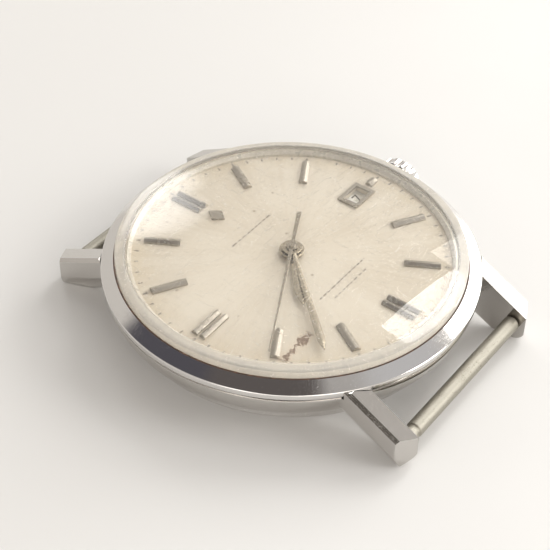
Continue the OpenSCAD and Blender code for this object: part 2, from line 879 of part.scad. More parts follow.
module third_wheel() {
    color(gilt) at(third_at) {
        pinion(third_pinion_n, great_m, [3, 3.25], third_turn);
        wheel(third_n, third_m, [3.77, 3.91], 0, 5);
        arbor(0.2, [3, 3.92], [2.7, 4.2]);
    }
}

module fourth_wheel() {
    color(gilt) {
        pinion(fourth_pinion_n, third_m, [3.65, 3.92], fourth_turn);
        wheel(fourth_n, fourth_m, [3.4, 3.54], 0, 5);
        disc(0.2, [3, 3.92]);
        disc(0.1, [2.7, 3.1]);
        disc(0.12, [3.9, 7.2]);
    }
}

module escape_wheel() {
    tip_deg = [0, 3, 6.5, 13];
    tip_r = [1.8, escape_r, escape_r, 1.8];
    color(steel) at(escape_at) {
        slab([3.68, 3.8]) difference() {
            polygon([for (i = [0 : escape_n - 1], k = [0 : 3]) polar(tip_r[k], i * 24 + 9 + tip_deg[k])]);
            windows(1.62, 0.35, 4, 0.2);
        }
        pinion(escape_pinion_n, fourth_m, [3.33, 3.62], escape_turn);
        arbor(0.15, [3, 3.92], [2.7, 4.2]);
    }
}

module pallet_fork() {
    color(steel) at(pallet_at) rotate(lever_heading) {
        slab([3.68, 3.8]) {
            circle(0.3);
            for (s = [-1, 1]) {
                polygon([[0.15, s * 0.12], [-0.62, s * 1.45], [-0.86, s * 1.36], [-0.3, s * 0.12]]);
                translate([-0.74, s * 1.27]) rotate(s * 28) square([0.5, 0.2], center = true);
            }
            translate([0, -0.13]) square([1.75, 0.26]);
            for (s = [-1, 1]) translate([1.95, s * 0.19]) square([0.6, 0.14], center = true);
            translate([1.65, -0.26]) square([0.15, 0.52]);
        }
        arbor(0.15, [3.62, 3.92], [3.47, 4.2]);
    }
}

module balance_wheel() {
    color(gilt) at(balance_at) {
        slab([3.15, 3.4]) {
            difference() {
                circle(4.1);
                windows(3.6, 0.6, 2, 0.5);
            }
        }
        for (i = [0 : 7]) rotate(22.5 + 45 * i) translate([4.05, 0, 3.27]) rotate([0, 90, 0])
            cylinder(r = 0.11, h = 0.22);
        disc(0.5, [3.44, 3.62]);
        disc(0.2, [3, 3.65]);
        disc(0.15, [3.6, 3.92]);
        disc(0.1, [2.7, 4.2]);
        rotate(lever_heading + 180) translate([0.42, 0, 3.58]) cylinder(r = 0.07, h = 0.22);
    }
}

module hairspring() {
    color("steelblue") at(balance_at) spiral(0.32, 2.3, 9, 0.05, [2.99, 3.11]);
}

// ---- Self-winding work ----
module rotor() {
    color(gilt) difference() {
        union() {
            slab(web_z) intersection() {
                circle(rotor_r);
                union() {
                    translate([-15, -15]) square([30, 13.5]);
                    circle(3.2);
                }
            }
            slab(rim_z) intersection() {
                difference() {
                    circle(rotor_r);
                    circle(10.5);
                }
                translate([-15, -15]) square([30, 13.5]);
            }
            disc(1.05, [web_z[0], upper_z[0] + 0.05]);
            pinion(rotor_pinion_n, auto_m, upper_z, 0);
        }
        disc(0.73, [0, 3]);
        for (a = [-155 : 26 : -25]) rotate(a) slab([0.5, 1.5]) translate([6.6, 0]) circle(1);
    }
}

module reverser(p, turn, out_turn) {
    color(gilt) at(p) {
        wheel(reverser_n, auto_m, upper_z, turn, 5);
        pinion(reverser_pinion_n, auto_m, [1.85, 2.12], out_turn);
        arbor(0.2, [1.58, 2.3], [1.3, 2.8]);
    }
}

module reverser_a() {
    reverser(reverser_a_at, reverser_a_turn, out_a_turn);
}

module reverser_b() {
    reverser(reverser_b_at, reverser_b_turn, out_b_turn);
}

module reduction_wheel() {
    color(gilt) at(reduction_at) {
        wheel(reduction_n, auto_m, lower_z, 0, 4);
        pinion(reduction_pinion_n, ratchet_m, [2.08, ratchet_z[1]], reduction_turn);
        arbor(0.18, [1.58, 2.36], [1.3, 2.8]);
    }
}

// ---- Strap bars ----
tube_half = strap_w / 2 - 0.12;
tip_body = 1.9;
tip_end = strap_w / 2 + tip_travel - 0.05;

module bar_places() {
    for (sy = [-1, 1]) translate([0, sy * bar_y, bar_z]) rotate([0, 90, 0]) children();
}

module strap_bar_tubes() {
    color("tan") bar_places() difference() {
        rotate_extrude() polygon([
            [0, -tube_half], [bar_r - 0.12, -tube_half], [bar_r, -tube_half + 0.12],
            [bar_r, -tube_half + 0.75], [bar_r - 0.12, -tube_half + 0.85],
            [bar_r - 0.12, -tube_half + 1.15], [bar_r, -tube_half + 1.25], [bar_r, tube_half - 0.12],
            [bar_r - 0.12, tube_half], [0, tube_half]]);
        cylinder(r = 0.5, h = 30, center = true);
    }
}

module strap_bar_springs() {
    reach = tube_half - tip_body - 0.03;
    turns = 16;
    color(steel) bar_places() translate([0, 0, -reach])
        linear_extrude(2 * reach, twist = -360 * turns, slices = turns * 10, $fn = 6)
            translate([0.37, 0]) scale([1, 2.4]) circle(0.07, $fn = 6);
}

// Sprung tip on the +X end of a bar: a body inside the tube and a pivot in the lug
module bar_tip(sx, sy) {
    color(steel) mirror([sx < 0 ? 1 : 0, 0, 0]) translate([0, sy * bar_y, bar_z]) rotate([0, 90, 0])
        rotate_extrude() polygon([
            [0, tube_half - tip_body], [0.47, tube_half - tip_body], [0.47, tube_half - 0.05],
            [0.4, tube_half], [0.4, tip_end - 0.12], [0.3, tip_end], [0, tip_end]]);
}

module bar_tip_12_left() {
    bar_tip(-1, 1);
}

module bar_tip_12_right() {
    bar_tip(1, 1);
}

module bar_tip_6_left() {
    bar_tip(-1, -1);
}

module bar_tip_6_right() {
    bar_tip(1, -1);
}

mid_case();
bezel();
case_back();
back_gasket();
crystal();
tension_ring();
crown_tube();
movement_ring();
dial();
applied_markers();
main_plate();
barrel_bridge();
train_bridge();
balance_cock();
pallet_cock();
automatic_bridge();
bridge_screws();
jewels();
crown();
crown_gasket();
stem();
winding_pinion();
sliding_pinion();
setting_lever();
yoke();
setting_wheel();
minute_driving_pinion();
minute_wheel();
cannon_pinion();
hour_wheel();
date_driving_wheel();
date_ring();
date_jumper();
minute_hand();
hour_hand();
seconds_hand();
barrel_drum();
barrel_cover();
mainspring();
barrel_arbor();
ratchet_wheel();
crown_wheel();
click();
great_wheel();
third_wheel();
fourth_wheel();
escape_wheel();
pallet_fork();
balance_wheel();
hairspring();
rotor();
reverser_a();
reverser_b();
reduction_wheel();
strap_bar_tubes();
strap_bar_springs();
bar_tip_12_left();
bar_tip_12_right();
bar_tip_6_left();
bar_tip_6_right();
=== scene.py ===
import bpy, bmesh, math, random
from mathutils import Vector, Matrix


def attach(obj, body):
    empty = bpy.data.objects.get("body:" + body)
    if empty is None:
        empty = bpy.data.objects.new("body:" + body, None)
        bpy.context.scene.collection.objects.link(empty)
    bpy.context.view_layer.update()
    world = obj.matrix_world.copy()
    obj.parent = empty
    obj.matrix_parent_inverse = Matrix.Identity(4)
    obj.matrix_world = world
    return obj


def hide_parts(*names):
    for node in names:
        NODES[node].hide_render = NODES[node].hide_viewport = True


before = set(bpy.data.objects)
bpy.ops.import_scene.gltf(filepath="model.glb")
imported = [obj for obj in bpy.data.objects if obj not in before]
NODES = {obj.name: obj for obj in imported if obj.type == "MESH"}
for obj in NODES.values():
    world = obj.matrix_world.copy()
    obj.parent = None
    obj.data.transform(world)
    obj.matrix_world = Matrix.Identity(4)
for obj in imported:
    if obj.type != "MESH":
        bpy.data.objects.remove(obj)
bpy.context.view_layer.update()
MM = 0.001
BUMP = 0.01 * MM
# sizes of the case in millimetres
CRYSTAL_R = 15.95
CRYSTAL_IN = 14.9
SHOULDER_Z = 7.35
DIAL_TOP = 6.2
DATES = 31
random.seed(7)

# ---------------------------------------------------------------- camera
scene = bpy.context.scene
az = math.radians(-54.316)
el = math.radians(41.444)
roll = math.radians(1.317)
distance_mm = 132.266
target = Vector((-0.865, 1.18, 3.9)) * MM
back = Vector((math.sin(az) * math.cos(el), -math.cos(az) * math.cos(el), math.sin(el)))
right = Vector((math.cos(az), math.sin(az), 0))
up = back.cross(right)
cam_right = right * math.cos(roll) + up * math.sin(roll)
cam_up = up * math.cos(roll) - right * math.sin(roll)
cam_data = bpy.data.cameras.new("camera")
cam_data.sensor_width = 36
cam_data.lens = 94.45
cam_data.clip_start = 0.002
cam_data.clip_end = 20
cam = bpy.data.objects.new("camera", cam_data)
rot = Matrix((cam_right, cam_up, back)).transposed()
cam.matrix_world = Matrix.Translation(target + back * distance_mm * MM) @ rot.to_4x4()
scene.collection.objects.link(cam)
scene.camera = cam
scene.view_settings.view_transform = "Standard"
scene.view_settings.look = "None"

AWAY = Vector((-back.x, -back.y, 0)).normalized()
RIGHT = right.normalized()
UP = Vector((0, 0, 1))


# ---------------------------------------------------------------- shader helpers
class Tree:
    def __init__(self, tree):
        self.t = tree

    def node(self, kind, **kw):
        n = self.t.nodes.new(kind)
        ins = kw.pop("ins", {})
        for k, v in kw.items():
            setattr(n, k, v)
        for k, v in ins.items():
            self.put(n, k, v)
        return n

    def put(self, n, key, v):
        s = n.inputs[key]
        if isinstance(v, bpy.types.NodeSocket):
            self.t.links.new(v, s)
        else:
            s.default_value = v

    def math(self, op, a, b=0.0, c=0.0, clamp=False):
        return self.node("ShaderNodeMath", operation=op, use_clamp=clamp, ins={0: a, 1: b, 2: c}).outputs[0]

    def vmath(self, op, a, b=(0, 0, 0)):
        n = self.node("ShaderNodeVectorMath", operation=op, ins={0: a, 1: b})
        return n.outputs["Value"] if op in ("DOT_PRODUCT", "LENGTH") else n.outputs["Vector"]

    def ramp(self, v, lo, hi, a=0.0, b=1.0, smooth=True):
        n = self.node("ShaderNodeMapRange", interpolation_type="SMOOTHSTEP" if smooth else "LINEAR",
                      ins={"Value": v, "From Min": lo, "From Max": hi, "To Min": a, "To Max": b})
        return n.outputs["Result"]

    def mix(self, f, a, b, blend="MIX"):
        n = self.node("ShaderNodeMix", data_type="RGBA", blend_type=blend)
        self.put(n, 0, f)
        self.put(n, 6, a)
        self.put(n, 7, b)
        return n.outputs[2]

    def bump(self, p, strength, height, distance=BUMP):
        n = self.node("ShaderNodeBump", ins={"Strength": strength, "Distance": distance, "Height": height})
        self.put(p, "Normal", n.outputs[0])

    def coords(self):
        """Object coordinates in millimetres."""
        tc = self.node("ShaderNodeTexCoord")
        return self.vmath("MULTIPLY", tc.outputs["Object"], (1000, 1000, 1000))

    def stretch(self, v, scale, rot=(0, 0, 0)):
        return self.node("ShaderNodeMapping", ins={"Vector": v, "Rotation": rot, "Scale": scale}).outputs[0]

    def noise(self, v, scale, detail=2.0, rough=0.5, dist=0.0):
        return self.node("ShaderNodeTexNoise", ins={"Vector": v, "Scale": scale, "Detail": detail,
                                                    "Roughness": rough, "Distortion": dist}).outputs[0]

    def lines(self, v, scale, width, stretch=(1, 1, 1), rot=(0, 0, 0), gap=0.5, seed=0.0):
        """Long fine broken lines: level curves of a stretched noise."""
        p = self.vmath("ADD", self.stretch(v, stretch, rot), (seed, seed * 1.7, seed * 0.6))
        n = self.noise(p, scale, 1.0, 0.4)
        d = self.math("ABSOLUTE", self.math("SUBTRACT", n, 0.5))
        line = self.ramp(d, 0.0, width, 1.0, 0.0)
        brk = self.ramp(self.noise(p, scale * 2.3, 1.0), gap, gap + 0.06)
        return self.math("MULTIPLY", line, brk)


def rgb(r, g, b):
    return (r, g, b, 1.0)


def new_mat(name, base, metallic=0.0, rough=0.4, **kw):
    m = bpy.data.materials.new(name)
    m.use_nodes = True
    t = Tree(m.node_tree)
    p = m.node_tree.nodes["Principled BSDF"]
    t.put(p, "Base Color", base)
    t.put(p, "Metallic", metallic)
    t.put(p, "Roughness", rough)
    for k, v in kw.items():
        t.put(p, k, v)
    return m, t, p


def steel(name, col, rough=0.12, wear=1.0, grime=0.25, grain=None, stain=(0.30, 0.26, 0.20)):
    """Polished or grained metal with hairlines, small dings and dirt in patches."""
    m, t, p = new_mat(name, rgb(*col), 1.0, rough)
    v = t.coords()
    cloud = t.noise(v, 0.35, 3, 0.6)
    fine = t.noise(v, 6.0, 3, 0.6)
    s1 = t.lines(v, 0.55, 0.012, (1, 7, 3), (0.3, 0.2, 0.5), 0.50, 3.0)
    s2 = t.lines(v, 0.6, 0.010, (6, 1, 3), (0.1, 0.4, 1.3), 0.54, 11.0)
    s3 = t.lines(v, 1.3, 0.012, (1, 5, 5), (0.9, 0.2, 2.4), 0.52, 23.0)
    sc = t.math("MAXIMUM", t.math("MAXIMUM", s1, s2), s3)
    dirt = t.math("MULTIPLY", t.ramp(fine, 0.55, 0.78), t.ramp(cloud, 0.45, 0.65))
    c = t.mix(t.math("MULTIPLY", dirt, grime), rgb(*col), rgb(*stain))
    bright = rgb(*[min(1, 1.2 * x) for x in col])
    c = t.mix(t.math("MULTIPLY", sc, 0.25 * wear), c, bright)
    t.put(p, "Base Color", c)
    r = t.math("ADD", rough, t.math("MULTIPLY", t.math("SUBTRACT", cloud, 0.5), 0.12 * wear))
    r = t.math("ADD", r, t.math("MULTIPLY", sc, 0.25 * wear))
    r = t.math("ADD", r, t.math("MULTIPLY", dirt, 0.3), clamp=True)
    h = t.math("ADD", t.math("MULTIPLY", sc, -0.5 * wear), t.math("MULTIPLY", fine, 0.10 * wear))
    if grain:
        g = t.noise(t.stretch(v, grain), 8.0, 2, 0.6)
        h = t.math("ADD", h, t.math("MULTIPLY", g, 0.35))
        r = t.math("ADD", r, t.math("MULTIPLY", g, 0.10), clamp=True)
    t.put(p, "Roughness", r)
    t.bump(p, 0.35, h)
    return m


def radius(t, v):
    """Distance from the vertical axis in millimetres."""
    return t.vmath("LENGTH", t.vmath("MULTIPLY", v, (1, 1, 0)))


# ---------------------------------------------------------------- materials
STEEL = steel("case_steel", (0.74, 0.725, 0.71), 0.09, wear=0.45)
# painted shade: the middle case and lugs get a darker copy of the case steel, so the lug tops reflect less
# light
LUG_SHADED = steel("lug_steel_shaded", (0.58, 0.56, 0.535), 0.09, grime=0.35, wear=0.3)
BACK = steel("back_steel", (0.72, 0.705, 0.69), 0.16, wear=1.6)
MARKER = steel("marker_steel", (0.39, 0.355, 0.305), 0.28, grime=0.9, stain=(0.20, 0.16, 0.11))
HAND = steel("hand_steel", (0.43, 0.38, 0.30), 0.24, grime=0.8, stain=(0.18, 0.13, 0.08))
SECOND = steel("needle_steel", (0.40, 0.36, 0.30), 0.2, grime=0.9, stain=(0.12, 0.09, 0.06))
BAR = steel("bar_metal", (0.37, 0.35, 0.30), 0.44, grime=1.0, wear=1.6, grain=(1.0, 6, 6),
            stain=(0.10, 0.09, 0.06))
BRASS = steel("gilt_brass", (0.80, 0.62, 0.30), 0.22)
MSTEEL = steel("movement_steel", (0.60, 0.60, 0.61), 0.22)
BLUE = steel("blue_steel", (0.16, 0.24, 0.46), 0.2)


def bridge_mat():
    m, t, p = new_mat("plated_brass", rgb(0.74, 0.72, 0.68), 1.0, 0.24)
    v = t.coords()
    rad = radius(t, v)
    wander = t.math("MULTIPLY", t.noise(v, 0.5), 3.0)
    swirl = t.math("SINE", t.math("ADD", t.math("MULTIPLY", rad, 5.2), wander))
    c = t.mix(t.ramp(swirl, -1, 1), rgb(0.74, 0.72, 0.68), rgb(0.62, 0.60, 0.56))
    t.put(p, "Base Color", c)
    t.put(p, "Roughness", t.ramp(t.noise(v, 3.0, 3), 0.3, 0.7, 0.18, 0.34))
    t.bump(p, 0.3, swirl)
    return m


PLATED = bridge_mat()


def ring_mat():
    """Cream lacquered ring round the dial, rubbed and scratched."""
    m, t, p = new_mat("ring_cream", rgb(0.78, 0.71, 0.58), 0.35, 0.3)
    v = t.coords()
    n = t.noise(v, 1.1, 4, 0.6)
    sc = t.lines(v, 0.9, 0.02, (1, 4, 2), (0.2, 0.1, 0.6), 0.5, 7.0)
    c = t.mix(t.ramp(n, 0.35, 0.65), rgb(0.57, 0.53, 0.455), rgb(0.48, 0.44, 0.375))
    c = t.mix(t.math("MULTIPLY", sc, 0.5), c, rgb(0.90, 0.88, 0.84))
    t.put(p, "Base Color", c)
    t.put(p, "Roughness", t.ramp(n, 0.3, 0.7, 0.24, 0.42))
    t.bump(p, 0.3, t.math("MULTIPLY", sc, -1.0))
    return m


def seal_mat():
    m, t, p = new_mat("seal_brown", rgb(0.10, 0.05, 0.03), 0.0, 0.6)
    v = t.coords()
    n = t.noise(v, 2.4, 4, 0.65)
    t.put(p, "Base Color", t.mix(t.ramp(n, 0.35, 0.7), rgb(0.035, 0.022, 0.016), rgb(0.13, 0.07, 0.045)))
    t.put(p, "Roughness", t.ramp(n, 0.3, 0.7, 0.45, 0.75))
    return m


def liner_mat():
    # painted reflection: a cream band in the gap outside the crystal wall, standing in for the dial's image
    # refracted in the wall
    m, t, p = new_mat("painted_refraction_cream", rgb(0.86, 0.79, 0.66), 0.0, 0.6)
    v = t.coords()
    n = t.noise(t.stretch(v, (1, 1, 5)), 1.6, 3, 0.6)
    t.put(p, "Base Color", t.mix(t.ramp(n, 0.35, 0.7), rgb(0.88, 0.81, 0.68), rgb(0.74, 0.65, 0.50)))
    t.put(p, "Roughness", t.ramp(n, 0.3, 0.7, 0.5, 0.7))
    return m


RING = ring_mat()
PAINTED_REFRACTION = liner_mat()
SEAL = seal_mat()


def ruby_mat():
    m, t, p = new_mat("ruby", rgb(0.65, 0.04, 0.12), 0.0, 0.08)
    v = t.coords()
    t.put(p, "Base Color", t.mix(t.noise(v, 4.0), rgb(0.70, 0.04, 0.14), rgb(0.45, 0.02, 0.08)))
    p.inputs["Coat Weight"].default_value = 0.6
    return m


def rubber_mat():
    m, t, p = new_mat("gasket_rubber", rgb(0.03, 0.03, 0.03), 0.0, 0.6)
    v = t.coords()
    t.put(p, "Base Color", t.mix(t.noise(v, 5.0), rgb(0.025, 0.025, 0.025), rgb(0.06, 0.055, 0.05)))
    t.put(p, "Roughness", t.ramp(t.noise(v, 9.0, 3), 0.3, 0.7, 0.5, 0.75))
    return m


def dial_mat():
    m, t, p = new_mat("dial_lacquer", rgb(0.8, 0.75, 0.65), 0.25, 0.4)
    v = t.coords()
    rad = radius(t, v)
    sep = t.node("ShaderNodeSeparateXYZ", ins={0: v})
    ang = t.math("ARCTAN2", sep.outputs[1], sep.outputs[0])
    # brushing that runs out from the centre
    around = 26.0
    along = 0.02
    rays = t.node("ShaderNodeCombineXYZ", ins={0: t.math("MULTIPLY", t.math("COSINE", ang), around),
                                               1: t.math("MULTIPLY", t.math("SINE", ang), around),
                                               2: t.math("MULTIPLY", rad, along)}).outputs[0]
    ray = t.noise(rays, 1.0, 4, 0.7)
    cloud = t.noise(v, 0.14, 3, 0.55)
    c = t.mix(t.ramp(cloud, 0.35, 0.65), rgb(0.62, 0.56, 0.468), rgb(0.57, 0.505, 0.41))
    c = t.mix(t.math("MULTIPLY", t.ramp(ray, 0.35, 0.65), 0.35), c, rgb(0.68, 0.635, 0.55))
    # yellowed rim
    rim = t.math("MULTIPLY", t.ramp(rad, 11.5, 14.4), t.ramp(t.noise(v, 0.5, 3), 0.35, 0.6, 0.3, 1.0))
    c = t.mix(t.math("MULTIPLY", rim, 0.45), c, rgb(0.55, 0.46, 0.32))
    # specks
    vor = t.node("ShaderNodeTexVoronoi", ins={"Vector": v, "Scale": 0.55, "Randomness": 1.0})
    sp = t.ramp(vor.outputs["Distance"], 0.07, 0.10, 1.0, 0.0)
    pick = t.ramp(t.noise(vor.outputs["Position"], 2.0, 0), 0.50, 0.52)
    speck = t.math("MULTIPLY", sp, pick)
    vor2 = t.node("ShaderNodeTexVoronoi", ins={"Vector": v, "Scale": 2.2, "Randomness": 1.0})
    sp2 = t.ramp(vor2.outputs["Distance"], 0.05, 0.12, 1.0, 0.0)
    pick2 = t.ramp(t.noise(v, 0.9, 2), 0.60, 0.66)
    speck = t.math("MAXIMUM", speck, t.math("MULTIPLY", sp2, pick2))
    spot = t.vmath("LENGTH", t.vmath("MULTIPLY", t.vmath("SUBTRACT", v, (5.9, 6.5, 6.2)), (1, 1, 0)))
    speck = t.math("MAXIMUM", speck, t.ramp(spot, 0.10, 0.17, 1.0, 0.0))
    c = t.mix(t.math("MULTIPLY", speck, 0.6), c, rgb(0.22, 0.16, 0.10))
    # a jagged crack in the lacquer between 7 and 8
    w = t.noise(v, 1.1, 4, 0.7)
    bend = t.math("MULTIPLY", t.math("SUBTRACT", w, 0.5), 2.6)
    off = t.math("ADD", t.math("SUBTRACT", sep.outputs[1], -7.3), bend)
    d = t.math("ABSOLUTE", off)
    x = sep.outputs[0]
    seg = t.math("MULTIPLY", t.ramp(x, -11.8, -11.2), t.ramp(x, -7.6, -7.1, 1.0, 0.0))
    crack = t.math("MULTIPLY", t.ramp(d, 0.10, 0.26, 1.0, 0.0), seg)
    halo = t.math("MULTIPLY", t.ramp(d, 0.1, 1.0, 0.5, 0.0), seg)
    c = t.mix(t.math("MULTIPLY", halo, 0.55), c, rgb(0.62, 0.48, 0.34))
    c = t.mix(t.math("MULTIPLY", crack, 0.95), c, rgb(0.17, 0.10, 0.06))
    t.put(p, "Base Color", c)
    t.put(p, "Roughness", t.ramp(ray, 0.3, 0.7, 0.30, 0.46))
    h = t.math("ADD", t.math("MULTIPLY", ray, 0.25), t.math("MULTIPLY", crack, -1.0))
    t.bump(p, 0.25, h)
    return m


def crystal_mat():
    m, t, p = new_mat("crystal_acrylic", rgb(0.985, 0.98, 0.965), 0.0, 0.0)
    p.inputs["IOR"].default_value = 1.49
    v = t.coords()
    # long hairlines on the dome
    s1 = t.lines(v, 0.22, 0.0060, (1, 6, 1), (0, 0, 0.85), 0.48, 5.0)
    s2 = t.lines(v, 0.30, 0.0065, (7, 1, 1), (0, 0, 0.4), 0.51, 17.0)
    s3 = t.lines(v, 0.9, 0.010, (1, 3, 1), (0, 0, 2.0), 0.56, 29.0)
    sc = t.math("MAXIMUM", t.math("MAXIMUM", s1, s2), s3)
    rad = radius(t, v)
    # short scuffs towards the edge
    edge = t.ramp(rad, 12.5, 15.6)
    scuff = t.math("MULTIPLY", t.lines(v, 1.6, 0.03, (1, 2, 1), (0, 0, 1.1), 0.52, 41.0), edge)
    sc = t.math("MAXIMUM", sc, scuff)
    haze = t.ramp(t.noise(v, 2.0, 4, 0.7), 0.4, 0.8, 0.0, 0.03)
    r = t.math("ADD", t.math("MULTIPLY", sc, 0.32), haze, clamp=True)
    t.put(p, "Roughness", r)
    # painted reflection: the wall is made cloudy and cream, standing in for the dial's image refracted
    # through it
    rim = t.math("MULTIPLY", t.ramp(rad, CRYSTAL_IN, 15.25), t.ramp(t.noise(v, 0.5, 3), 0.3, 0.7, 0.75, 1.0))
    c = t.mix(rim, rgb(0.985, 0.98, 0.965), rgb(0.80, 0.75, 0.66))
    t.put(p, "Base Color", t.mix(t.math("MULTIPLY", sc, 0.75), c, rgb(0.66, 0.62, 0.57)))
    t.put(p, "Transmission Weight", t.math("SUBTRACT", 1.0, t.math("MULTIPLY", rim, 0.62)))
    t.bump(p, 0.4, t.math("MULTIPLY", sc, -1.0))
    return m


def ink_mat(name, col):
    m, t, p = new_mat(name, rgb(*col), 0.0, 0.5)
    v = t.coords()
    c = t.mix(t.ramp(t.noise(v, 7.0, 3), 0.35, 0.7), rgb(*col), rgb(col[0] * 1.9, col[1] * 1.8, col[2] * 1.6))
    t.put(p, "Base Color", c)
    t.put(p, "Roughness", t.ramp(t.noise(v, 11.0, 2), 0.3, 0.7, 0.4, 0.6))
    return m


def white_mat():
    m, t, p = new_mat("date_white", rgb(0.86, 0.85, 0.80), 0.0, 0.5)
    v = t.coords()
    n = t.ramp(t.noise(v, 1.4, 4), 0.4, 0.7)
    t.put(p, "Base Color", t.mix(n, rgb(0.86, 0.85, 0.80), rgb(0.76, 0.72, 0.62)))
    t.put(p, "Roughness", t.ramp(t.noise(v, 8.0, 2), 0.3, 0.7, 0.42, 0.6))
    return m


def paper_floor():
    m, t, p = new_mat("floor_pale", rgb(0.84, 0.83, 0.815), 0.0, 0.85)
    v = t.coords()
    n = t.noise(v, 0.02, 3, 0.5)
    c = t.mix(t.ramp(n, 0.35, 0.65), rgb(0.835, 0.832, 0.82), rgb(0.81, 0.803, 0.79))
    # painted shade: the floor darkens towards the left and the back, standing in for light falling off away
    # from the window light on the right
    painted_falloff = t.vmath("DOT_PRODUCT", v, tuple(RIGHT - AWAY * 0.3))
    c = t.mix(t.ramp(painted_falloff, -45, 35, 1.0, 0.0), c, rgb(0.745, 0.735, 0.718))
    t.put(p, "Base Color", c)
    t.bump(p, 0.08, t.noise(v, 0.8, 4, 0.6), 4 * BUMP)
    return m


RUBY = ruby_mat()
RUBBER = rubber_mat()
DIAL = dial_mat()
CRYSTAL = crystal_mat()
INK = ink_mat("dial_ink", (0.16, 0.14, 0.12))
DATE_INK = ink_mat("date_ink", (0.06, 0.05, 0.05))
WHITE = white_mat()


# ---------------------------------------------------------------- mesh helpers
def add_object(name, mesh, mat, body="case", slot=None, node=None, smooth=True):
    o = bpy.data.objects.new(name, mesh)
    scene.collection.objects.link(o)
    mesh.materials.clear()
    mesh.materials.append(mat)
    for poly in mesh.polygons:
        poly.use_smooth = smooth
    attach(o, body)
    if node:
        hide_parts(node)
    return o


def to_mesh(name, bm):
    mesh = bpy.data.meshes.new(name)
    bm.to_mesh(mesh)
    bm.free()
    return mesh


def circle_point(r, angle, z):
    return (r * MM * math.cos(angle), r * MM * math.sin(angle), z * MM)


def fillet(points, radii, steps=4):
    """Rounds the corners of a closed outline; radii is one number for each corner."""
    straight = math.radians(87)
    out = []
    n = len(points)
    for i in range(n):
        p0, p, p1 = Vector(points[i - 1]), Vector(points[i]), Vector(points[(i + 1) % n])
        r = radii[i]
        a = p0 - p
        b = p1 - p
        la, lb = a.length, b.length
        if r <= 0 or la < 1e-6 or lb < 1e-6:
            out.append(tuple(p))
            continue
        a.normalize()
        b.normalize()
        half = a.angle(b) / 2
        if half > straight:
            out.append(tuple(p))
            continue
        d = min(r / math.tan(half), 0.45 * la, 0.45 * lb)
        rr = d * math.tan(half)
        c = p + (a + b).normalized() * (rr / math.sin(half))
        start = p + a * d - c
        end = p + b * d - c
        ang = start.angle_signed(end)
        for k in range(steps + 1):
            out.append(tuple(c + Matrix.Rotation(-ang * (k / steps), 2) @ start))
    return out


def lathe(name, outline, mat, seg=192, **kw):
    """Closed ring turned about Z from radii and heights in millimetres; radius 0 closes on the axis."""
    bm = bmesh.new()
    rings = []
    for (r, z) in outline:
        if r < 1e-6:
            rings.append([bm.verts.new((0, 0, z * MM))])
        else:
            rings.append([bm.verts.new(circle_point(r, 2 * math.pi * k / seg, z)) for k in range(seg)])
    n = len(rings)
    for i in range(n):
        a, b = rings[i], rings[(i + 1) % n]
        if len(a) == 1 and len(b) == 1:
            continue
        for k in range(seg):
            k2 = (k + 1) % seg
            if len(a) == 1:
                bm.faces.new((a[0], b[k2], b[k]))
            elif len(b) == 1:
                bm.faces.new((a[k], a[k2], b[0]))
            else:
                bm.faces.new((a[k], a[k2], b[k2], b[k]))
    bmesh.ops.recalc_face_normals(bm, faces=bm.faces)
    mesh = to_mesh(name, bm)
    o = add_object(name, mesh, mat, **kw)
    w = o.modifiers.new("normals", "WEIGHTED_NORMAL")
    w.weight = 100
    w.keep_sharp = True
    return o


def softened(name, node, mat, width=0.04, body="case", slot=None, angle=28):
    """A CAD node's own shape with its sharp edges rounded off."""
    bm = bmesh.new()
    bm.from_mesh(NODES[node].data)
    bmesh.ops.remove_doubles(bm, verts=bm.verts, dist=2e-7)
    bmesh.ops.dissolve_limit(bm, angle_limit=math.radians(0.6), verts=bm.verts, edges=bm.edges)
    bmesh.ops.recalc_face_normals(bm, faces=bm.faces)
    mesh = to_mesh(name, bm)
    o = add_object(name, mesh, mat, body=body, slot=slot, node=node)
    b = o.modifiers.new("round", "BEVEL")
    b.width = width * MM
    b.segments = 3
    b.limit_method = "ANGLE"
    b.angle_limit = math.radians(angle)
    b.use_clamp_overlap = True
    w = o.modifiers.new("normals", "WEIGHTED_NORMAL")
    w.weight = 100
    return o


def finish_node(node, mat):
    o = NODES[node]
    for s in o.material_slots:
        s.material = mat
    if not o.material_slots:
        o.data.materials.append(mat)


# ---------------------------------------------------------------- carried-over nodes
GILT = ["minute_wheel", "hour_wheel", "date_driving_wheel", "setting_wheel", "barrel_drum", "barrel_cover",
        "great_wheel", "third_wheel", "fourth_wheel", "balance_wheel", "rotor", "reverser_a", "reverser_b",
        "reduction_wheel"]
PLATES = ["movement_ring", "main_plate", "barrel_bridge", "train_bridge", "balance_cock", "pallet_cock",
          "automatic_bridge"]
for n in NODES:
    if n in GILT:
        finish_node(n, BRASS)
    elif n in PLATES:
        finish_node(n, PLATED)
    elif n in ("mainspring", "hairspring", "bridge_screws"):
        finish_node(n, BLUE)
    elif n == "jewels":
        finish_node(n, RUBY)
    elif n in ("back_gasket", "crown_gasket"):
        finish_node(n, RUBBER)
    elif n == "dial":
        finish_node(n, DIAL)
    elif n == "tension_ring":
        finish_node(n, RING)
    elif n == "date_ring":
        finish_node(n, WHITE)
    elif n.startswith("bar_tip"):
        finish_node(n, BAR)
    else:
        finish_node(n, MSTEEL)

# ---------------------------------------------------------------- case
softened("case_middle", "mid_case", LUG_SHADED, 0.07, slot="case_steel")
softened("crown_outer", "crown", STEEL, 0.05, body="crown_and_stem", slot="case_steel")
softened("dial_markers", "applied_markers", MARKER, 0.025, slot="markers", angle=20)
softened("bar_tubes", "strap_bar_tubes", BAR, 0.05, slot="bar_metal")

bezel = fillet([(15.97, 5.12), (15.97, 6.60), (16.06, 6.65), (17.2, 5.98), (17.25, 5.92), (17.25, 5.45),
                (17.18, 5.38), (16.95, 5.30), (16.95, 5.12)],
               [0.01, 0.02, 0.05, 0.06, 0.06, 0.05, 0.04, 0.03, 0.01])
lathe("bezel_ring", bezel, STEEL, 256, slot="case_steel", node="bezel")

